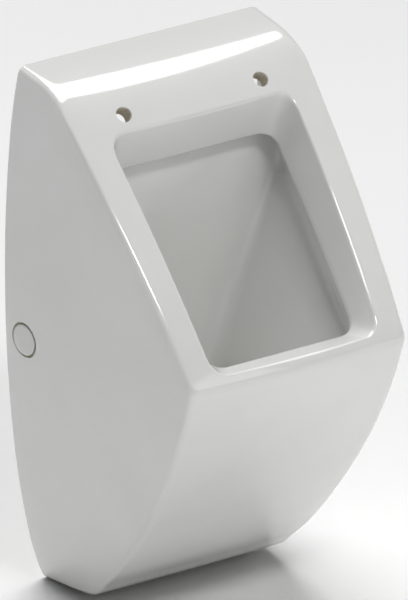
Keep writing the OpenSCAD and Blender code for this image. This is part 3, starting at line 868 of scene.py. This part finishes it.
def mesh_object(name, parts):
    verts, faces = [], []
    for v, f in parts:
        k = len(verts)
        verts += [tuple(q) for q in v]
        faces += [[i + k for i in g] for g in f]
    me = bpy.data.meshes.new(name)
    me.from_pydata(verts, [], faces)
    me.update()
    o = bpy.data.objects.new(name, me)
    scene.collection.objects.link(o)
    return o


def carve(obj, tools, how="DIFFERENCE"):
    """obj with each tool, an object, taken off or put on."""
    for t in tools:
        md = obj.modifiers.new("cut", "BOOLEAN")
        md.operation, md.object, md.solver = how, t, "MANIFOLD"
    bpy.context.view_layer.update()
    got = bpy.data.meshes.new_from_object(obj.evaluated_get(bpy.context.evaluated_depsgraph_get()))
    obj.modifiers.clear()
    old = obj.data
    obj.data = got
    bpy.data.meshes.remove(old)
    for t in tools:
        me = t.data
        bpy.data.objects.remove(t)
        bpy.data.meshes.remove(me)
    return obj


def finish_piece(obj, nodes, angle=32.0):
    me = obj.data
    b = bmesh.new()
    b.from_mesh(me)
    bmesh.ops.remove_doubles(b, verts=b.verts, dist=2e-6)
    bmesh.ops.dissolve_degenerate(b, edges=b.edges, dist=2e-6)
    b.to_mesh(me)
    b.free()
    for q in me.polygons:
        q.use_smooth = True
    me.set_sharp_from_angle(angle=math.radians(angle))
    me.materials.clear()
    me.materials.append(M[slot_of[nodes[0]]])
    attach(obj, frame["nodes"][nodes[0]]["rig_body"])
    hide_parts(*nodes)
    return obj


def at_drain(z):
    return Matrix.Translation((0, -0.112, z / 1000))


def along_y(x, y, z):
    return Matrix.Translation((x / 1000, y / 1000, z / 1000)) @ Matrix.Rotation(-math.pi / 2, 4, "X")


def at_side(s):
    return (Matrix.Translation((s * 0.153714, -0.0295, 0)) @ Matrix.Rotation(-s * SIDE_T, 4, "Z")
            @ Matrix.Rotation(s * math.pi / 2, 4, "Y"))


def rod(name, place, r, z0, z1, n=64, lip=0.0):
    """A straight cutter; with lip, its top end widens to break the edge it cuts."""
    line = [[0, z0], [r, z0], [r, z1 - 2 * lip], [r + 2 * lip, z1], [0, z1]] if lip else [[0, z0], [r, z0], [r, z1], [0, z1]]
    return mesh_object(name, [lathe(np.array(line, float), place, n)])


def turned(name, nodes, prof, place, rad=0.3, n=96, shape=None, seg=4, step=None, angle=32.0):
    line = rounded(prof, rad, seg)
    if step:
        line = finer(line, step)
    places = place if isinstance(place, list) else [place]
    return finish_piece(mesh_object(name, [lathe(line, p, n, shape) for p in places]), nodes, angle)


UNDER, FLOOR_Z, TRAP = -77.0, -65.0, -94.0
OUT_Z = TRAP - 34
INLET_Z = 194.3

# Waste: flange, seals, nut, strainer and dip tube
turned("waste_flange_turned", ["waste_flange"],
       [[17.5, -46], [20.5, -46], [20.5, 1.5], [31, 1.5], [31, 2.4], [30.2, 3.2], [27.5, 4.3], [26.6, 4.5],
        [24.1, 4.5], [24.1, 2.5], [19.5, 2.5], [17.5, 0.5]],
       at_drain(FLOOR_Z), [0.4, 0.5, 0.4, 0.3, 0.5, 1.5, 2, 0.8, 0.25, 0.3, 0.8, 0.8], 128)
turned("waste_seal_upper_ring", ["waste_seal_upper"], [[20.6, 0], [30, 0], [30, 1.5], [20.6, 1.5]],
       at_drain(FLOOR_Z), 0.6)
turned("waste_seal_lower_ring", ["waste_seal_lower"], [[20.6, 0], [31, 0], [31, 2], [20.6, 2]],
       at_drain(UNDER - 2), 0.8)


def grip_nut(name, node, ro, inner, h, place, count=12, width=3.2, extra=None):
    """A plastic union nut with ribs, round shoulders and a turned bore."""
    wall_r = ro - 1.5
    prof = [[inner[0][0], inner[0][1]], [wall_r - 1.0, 0], [wall_r, 1.0], [wall_r, h - 1.0], [wall_r - 1.0, h]] + inner[:0:-1]
    rad = [0.4, 0.7, 0.7, 0.7, 0.7] + [0.4] * (len(inner) - 1)
    return turned(name, [node], prof, place, rad, rib_angles(count, width, ro), ribs(count, 1.5, 0.9, h - 0.9, width, wall_r),
                  step=0.8, angle=40)


grip_nut("waste_locknut_moulded", "waste_locknut", 31, [[20.5, 0], [20.5, 8.5]], 8.5, at_drain(UNDER - 10.5))
grate = mesh_object("strainer_grate_pressed", [lathe(rounded(
    [[13.2, -6], [15, -6], [15, 2.5], [23.8, 2.5], [23.8, 4.1], [23.3, 4.5], [6, 4.9], [0, 5], [0, 3], [13.2, 3]],
    [0.3, 0.3, 0.4, 0.4, 0.6, 1.2, 0, 0, 0, 0.8], 5), at_drain(FLOOR_Z), 128)])
holes = []
for i in range(6):
    holes.append(Matrix.Rotation(math.radians(i * 60), 4, "Z") @ Matrix.Translation((0.0056, 0, 0)))
for i in range(12):
    holes.append(Matrix.Rotation(math.radians(i * 30 + 15), 4, "Z") @ Matrix.Translation((0.0104, 0, 0)))
carve(grate, [rod("hole", at_drain(FLOOR_Z) @ h_, 1.5 if k < 6 else 1.7, 2.0, 5.1, 32, 0.3) for k, h_ in enumerate(holes)])
finish_piece(grate, ["strainer_grate"])
turned("dip_tube_turned", ["dip_tube"],
       [[13.2, -96], [15, -96], [15, -40.4], [16.9, -40.4], [16.9, -35.4], [15.2, -35.4], [15.2, -31.6], [16.9, -31.6],
        [16.9, -26], [15, -24], [15, -6], [13.2, -6]], at_drain(FLOOR_Z), 0.4)
turned("dip_tube_o_ring", ["dip_tube_seal"],
       [[15.2, -1.7], [16.9, -1.7], [17.42, -0.8], [17.42, 0.8], [16.9, 1.7], [15.2, 1.7]],
       at_drain(FLOOR_Z - 33.5), 0.7)

# Trap
OR = 20.0
trap = mesh_object("trap_body_moulded", [lathe(finer(rounded(
    [[0, -70], [36, -70], [36, -17], [33.5, -13.5], [26, -12], [26, 0], [0, 0]],
    [0, 0.6, 4.0, 3.0, 1.5, 0.8, 0], 6), 4.0), at_drain(TRAP), 128)])
neck = mesh_object("neck", [lathe(rounded([[0, 0], [OR + 2, 0], [OR + 2, 52], [0, 52]], [0, 0, 0.6, 0]),
                                  along_y(0, -112, OUT_Z), 128)])
collar = mesh_object("collar", [lathe(rounded([[0, 20], [OR + 4.6, 20], [OR + 4.4, 37.2], [OR + 2.0, 38.4], [0, 38.4]],
                                              [0, 0, 0.9, 0.9, 0]), along_y(0, -112, OUT_Z), 128)])
carve(trap, [neck, collar], "UNION")
hollow = mesh_object("hollow", [lathe(rounded(
    [[0, -71], [33, -71], [33, -18], [31, -16], [21.3, -14], [21.3, 1], [0, 1]],
    [0, 0, 2.5, 2.0, 1.5, 0, 0], 5), at_drain(TRAP), 96)])
carve(trap, [hollow, rod("bore", along_y(0, -112, OUT_Z), OR - 3, 0, 112), rod("socket", along_y(0, -82, OUT_Z), OR + 0.1, 0, 40)])
finish_piece(trap, ["trap_body"], 36)
grip_nut("trap_inlet_nut_moulded", "trap_inlet_nut", 32, [[26.2, 0], [26.2, 12], [20.8, 12], [20.8, 14]], 14,
         at_drain(TRAP - 9.5))
turned("trap_inlet_ring", ["trap_inlet_seal"], [[20.6, 0], [25.8, 0], [24.6, 2.5], [20.6, 2.5]], at_drain(TRAP), 0.5)
turned("trap_cup_ring", ["trap_cup_seal"], [[33, 0], [36, 0], [36, 2], [33, 2]], at_drain(TRAP - 72), 0.6)
turned("trap_cup_moulded", ["trap_cup"],
       [[0, 0], [28, 0], [33, 1.5], [37.5, 6], [39.5, 11], [39.5, 27.2], [38.7, 28], [36.1, 28], [36.1, 19],
        [33, 19], [33, 11], [31, 7], [27, 4], [0, 4]],
       at_drain(TRAP - 91), [0, 4, 6, 7, 4, 0.6, 0.6, 0.4, 0.3, 0.5, 2, 2, 2, 0],
       rib_angles(16, 2.8, 40), ribs(16, 1.4, 11.6, 26.9, 2.8, 39.5), step=1.6, angle=40)
turned("outlet_pipe_turned", ["outlet_pipe"],
       [[OR - 2.4, 0], [OR - 0.6, 0], [OR, 1.5], [OR, 53], [OR + 1.6, 53.6], [OR + 1.6, 55.4], [OR, 56], [OR, 80.5],
        [OR - 1, 81.5], [OR - 2.4, 81.5]], along_y(0, -81.5, OUT_Z), [0.4, 0.5, 0.5, 0.5, 0.6, 0.6, 0.5, 0.5, 0.5, 0.6], 112)
turned("outlet_ring", ["outlet_seal"], [[OR + 0.1, 0], [OR + 1.8, 0], [OR + 1.8, 2], [OR + 0.1, 2]],
       along_y(0, -60, OUT_Z), 0.4)
grip_nut("outlet_nut_moulded", "outlet_nut", OR + 7, [[OR + 2.2, 0], [OR + 2.2, 15], [OR + 0.2, 15], [OR + 0.2, 17]], 17,
         along_y(0, -73, OUT_Z), 12, 3.0)

# Water inlet
turned("inlet_connector_turned", ["inlet_connector"],
       [[5.5, 0], [10, 0], [10, 15], [13.5, 17], [13.5, 43.2], [12.7, 44], [10.5, 44], [10.5, 24], [5.5, 20]],
       along_y(0, -44, INLET_Z), [0.3, 0.4, 0.6, 1.2, 0.6, 0.6, 0.3, 0.6, 0.8], 96)
turned("inlet_union_nut_milled", ["inlet_union_nut"],
       [[7, 0], [13.147, 0], [13.147, 14], [10.1, 14], [10.1, 2], [7, 2]], along_y(0, -48, INLET_Z),
       [0.3, 0, 0, 0.3, 0.3, 0.3], 96, hexagon(25.98, 12.99, 0, 14), step=0.6, angle=24)
turned("inlet_grommet_moulded", ["inlet_grommet"],
       [[7, 0], [9.95, 0], [9.95, 11], [15, 11], [15, 14], [7, 14]], along_y(0, -77, INLET_Z),
       [0.5, 0.6, 0.5, 1.0, 1.0, 0.6])
nozzle = mesh_object("spray_nozzle_moulded", [lathe(rounded(
    [[0, 0], [6.5, 0], [8.2, 1], [8.8, 2.4], [8.8, 3.6], [6.9, 3.6], [6.9, 35.6], [9.8, 35.6], [9.8, 37.55], [4, 37.55],
     [4, 2.4], [0, 2.4]], [0, 1.5, 1.2, 0.8, 0.4, 0.4, 0.4, 0.4, 0.4, 0.3, 1.0, 0], 5), along_y(0, -81.6, INLET_Z), 96)])
jets = [along_y(0, -81.6, INLET_Z) @ Matrix.Rotation(math.radians(a_), 4, "Z") @ Matrix.Translation((0, 0.003, 0))
        for a_ in (-60, -30, 0, 30, 60)]
carve(nozzle, [rod("jet", j_, 0.75, -0.2, 2.8, 24) for j_ in jets])
finish_piece(nozzle, ["spray_nozzle"])

# Wall fixings
SIDES = [at_side(-1), at_side(1)]
turned("side_bushes_moulded", ["side_bushes"],
       [[4.3, -16.2], [18, -16.2], [18, -13.3], [13.9, -13.3], [13.9, -1.2], [9.5, -1.2], [9.5, -13.6], [4.3, -13.6]],
       SIDES, [0.3, 0.7, 0.7, 0.5, 0.5, 0.4, 0.5, 0.3])


def socket_hex(flat, z_top):
    def f(th, r, z):
        a_ = th % (math.pi / 3) - math.pi / 6
        return np.where((np.abs(r - flat) < 1e-3) & (z > z_top - 4), flat / np.cos(a_), r)
    return f


turned("side_screws_turned", ["side_screws"],
       [[0, -34], [3.2, -34], [4, -33], [4, -13.6], [7, -13.6], [7, -9.4], [6.4, -8.8], [2.9965, -8.8], [2.9965, -12], [0, -12]],
       SIDES, [0, 0.3, 0.3, 0.3, 0.4, 0.5, 0.5, 0, 0, 0], 96, socket_hex(2.9965, -8.8), angle=30)
studs = [along_y(s * 110.0, 0, 0) for s in (-1, 1)]
turned("wall_washers_pressed", ["wall_washers"], [[4.3, -9.6], [8.5, -9.6], [8.5, -8], [4.3, -8]], studs, 0.35)
turned("wall_nuts_milled", ["wall_nuts"],
       [[4.05, -16.1], [6.57, -16.1], [6.57, -9.6], [4.05, -9.6]], studs, [0.5, 0, 0, 0.5], 96,
       hexagon(12.99, 6.495, -16.1, -9.6), step=0.35, angle=24)
for s, side_name in ((-1, "left"), (1, "right")):
    S = at_side(s)
    base = mesh_object(f"fixing_block_{side_name}_moulded",
                       [slab(39, 53, 4.5, 8, Matrix.Translation((s * 0.1115, 0, 0)) @ Matrix.Rotation(math.pi / 2, 4, "X"), 1.0)])
    lug = mesh_object("lug", [rounded_box((40, 39.5, 15.5), S @ Matrix.Translation((0, 0.00475, -0.02425)), 1.4, 3)])
    webs = [mesh_object("web", [rounded_box((4, 31, 16), S @ Matrix.Translation(((z_ + 2) / 1000, 0.0045, -0.036)), 0.9, 2)])
            for z_ in (-20, 16)]
    carve(base, [lug] + webs, "UNION")
    carve(base, [rod("stud", along_y(s * 110.0, -20, 0), 4.5, 0, 30, 48),
                 rod("tap", S, 4.0, -60, 0, 48)])
    finish_piece(base, [f"fixing_block_{side_name}"], 34)


# Caps over the side screws: a shallow domed disc on a stem, sunk a little into its seat in the flank
for s, side_name in ((-1, "left"), (1, "right")):
    turned(f"side_cap_{side_name}_moulded", [f"side_cap_{side_name}"],
           [[0, -7.6], [8.6, -7.6], [9.42, -6.8], [9.42, -1.6], [15.8, -1.6], [16.0, 0.35], [15.2, 0.95], [10, 1.35], [5, 1.47],
            [0, 1.5]],
           at_side(s), [0, 0.4, 0.4, 0.5, 0.4, 0.9, 1.6, 8, 8, 0], 128, seg=6)

# ---------------------------------------------------------------------------
# Any CAD node still shown takes its finish from its slot
for name, o in frame["nodes"].items():
    o.data.materials.clear()
    o.data.materials.append(M[slot_of[name]])

# ---------------------------------------------------------------------------
# Floor, light
FLOOR_R = 32.0
floor_me = bpy.data.meshes.new("floor")
floor_me.from_pydata([(-FLOOR_R, -FLOOR_R, 0), (FLOOR_R, -FLOOR_R, 0), (FLOOR_R, FLOOR_R, 0), (-FLOOR_R, FLOOR_R, 0)],
                     [], [(0, 1, 2, 3)])
floor = bpy.data.objects.new("floor", floor_me)
floor.location = (0, 0, -0.2802)
scene.collection.objects.link(floor)
m, nt, b, oc = material("floor_paper")
cl = noise(nt, oc, 1.2, 3, 0.5)
fib = noise(nt, oc, 320.0, 4, 0.6)
nt.links.new(ramp(nt, cl, [(0.3, (0.885, 0.885, 0.882)), (0.7, (0.91, 0.91, 0.907))]), b.inputs["Base Color"])
nt.links.new(span(nt, fib, 0.3, 0.7, 0.60, 0.75), b.inputs["Roughness"])
b.inputs["Specular IOR Level"].default_value = 0.0
floor_me.materials.append(m)


def area(name, loc, look, size, size_y, power, colour=(1, 1, 1)):
    ld = bpy.data.lights.new(name, "AREA")
    ld.shape = "RECTANGLE"
    ld.size, ld.size_y = size, size_y
    ld.energy = power
    ld.color = colour
    o = bpy.data.objects.new(name, ld)
    scene.collection.objects.link(o)
    o.location = loc
    o.rotation_mode = "QUATERNION"
    o.rotation_quaternion = (Vector(look) - Vector(loc)).to_track_quat("-Z", "Y")
    o.visible_camera = False
    return o


def sun(name, towards, spread, strength, colour=(1, 1, 1)):
    ld = bpy.data.lights.new(name, "SUN")
    ld.angle = math.radians(spread)
    ld.energy = strength
    ld.color = colour
    o = bpy.data.objects.new(name, ld)
    scene.collection.objects.link(o)
    o.rotation_mode = "QUATERNION"
    o.rotation_quaternion = Vector(towards).to_track_quat("Z", "Y")
    o.location = Vector(towards).normalized() * 4
    return o


# A very soft light from above and behind, a front light for the slanted face, and small ones for the edges
sun("top", (0.18, 0.38, 0.907), 45, 1.9)
area("face", (-0.1, -1.9, 2.4), (0, -0.1, 0.0), 0.9, 0.42, 18.5, (1.0, 0.99, 0.975))
area("key", (0.75, -2.9, 1.35), (0, -0.1, 0.0), 1.5, 1.5, 8.0, (1.0, 0.985, 0.96))
area("strip", (-2.1, -1.35, 1.95), (0, -0.1, 0.0), 0.4, 1.4, 0.95, (0.97, 0.985, 1.0))
area("back", (-0.6, 2.4, 1.6), (0, -0.1, 0.0), 1.8, 1.2, 6.32, (1.0, 1.0, 1.0))
world = bpy.data.worlds.new("world")
world.use_nodes = True
wt = world.node_tree
bg = wt.nodes["Background"]
up = wt.nodes.new("ShaderNodeSeparateXYZ")
wt.links.new(wt.nodes.new("ShaderNodeTexCoord").outputs["Generated"], up.inputs[0])
wt.links.new(ramp(wt, up.outputs[2], [(0.0, (0.735, 0.737, 0.737)), (0.03, (0.70, 0.703, 0.706)),
                                      (0.13, (0.13, 0.133, 0.138)), (1.0, (0.12, 0.123, 0.128))]), bg.inputs[0])
bg.inputs[1].default_value = 0.79
scene.world = world
scene.view_settings.view_transform = "Standard"
scene.view_settings.look = "Medium High Contrast"
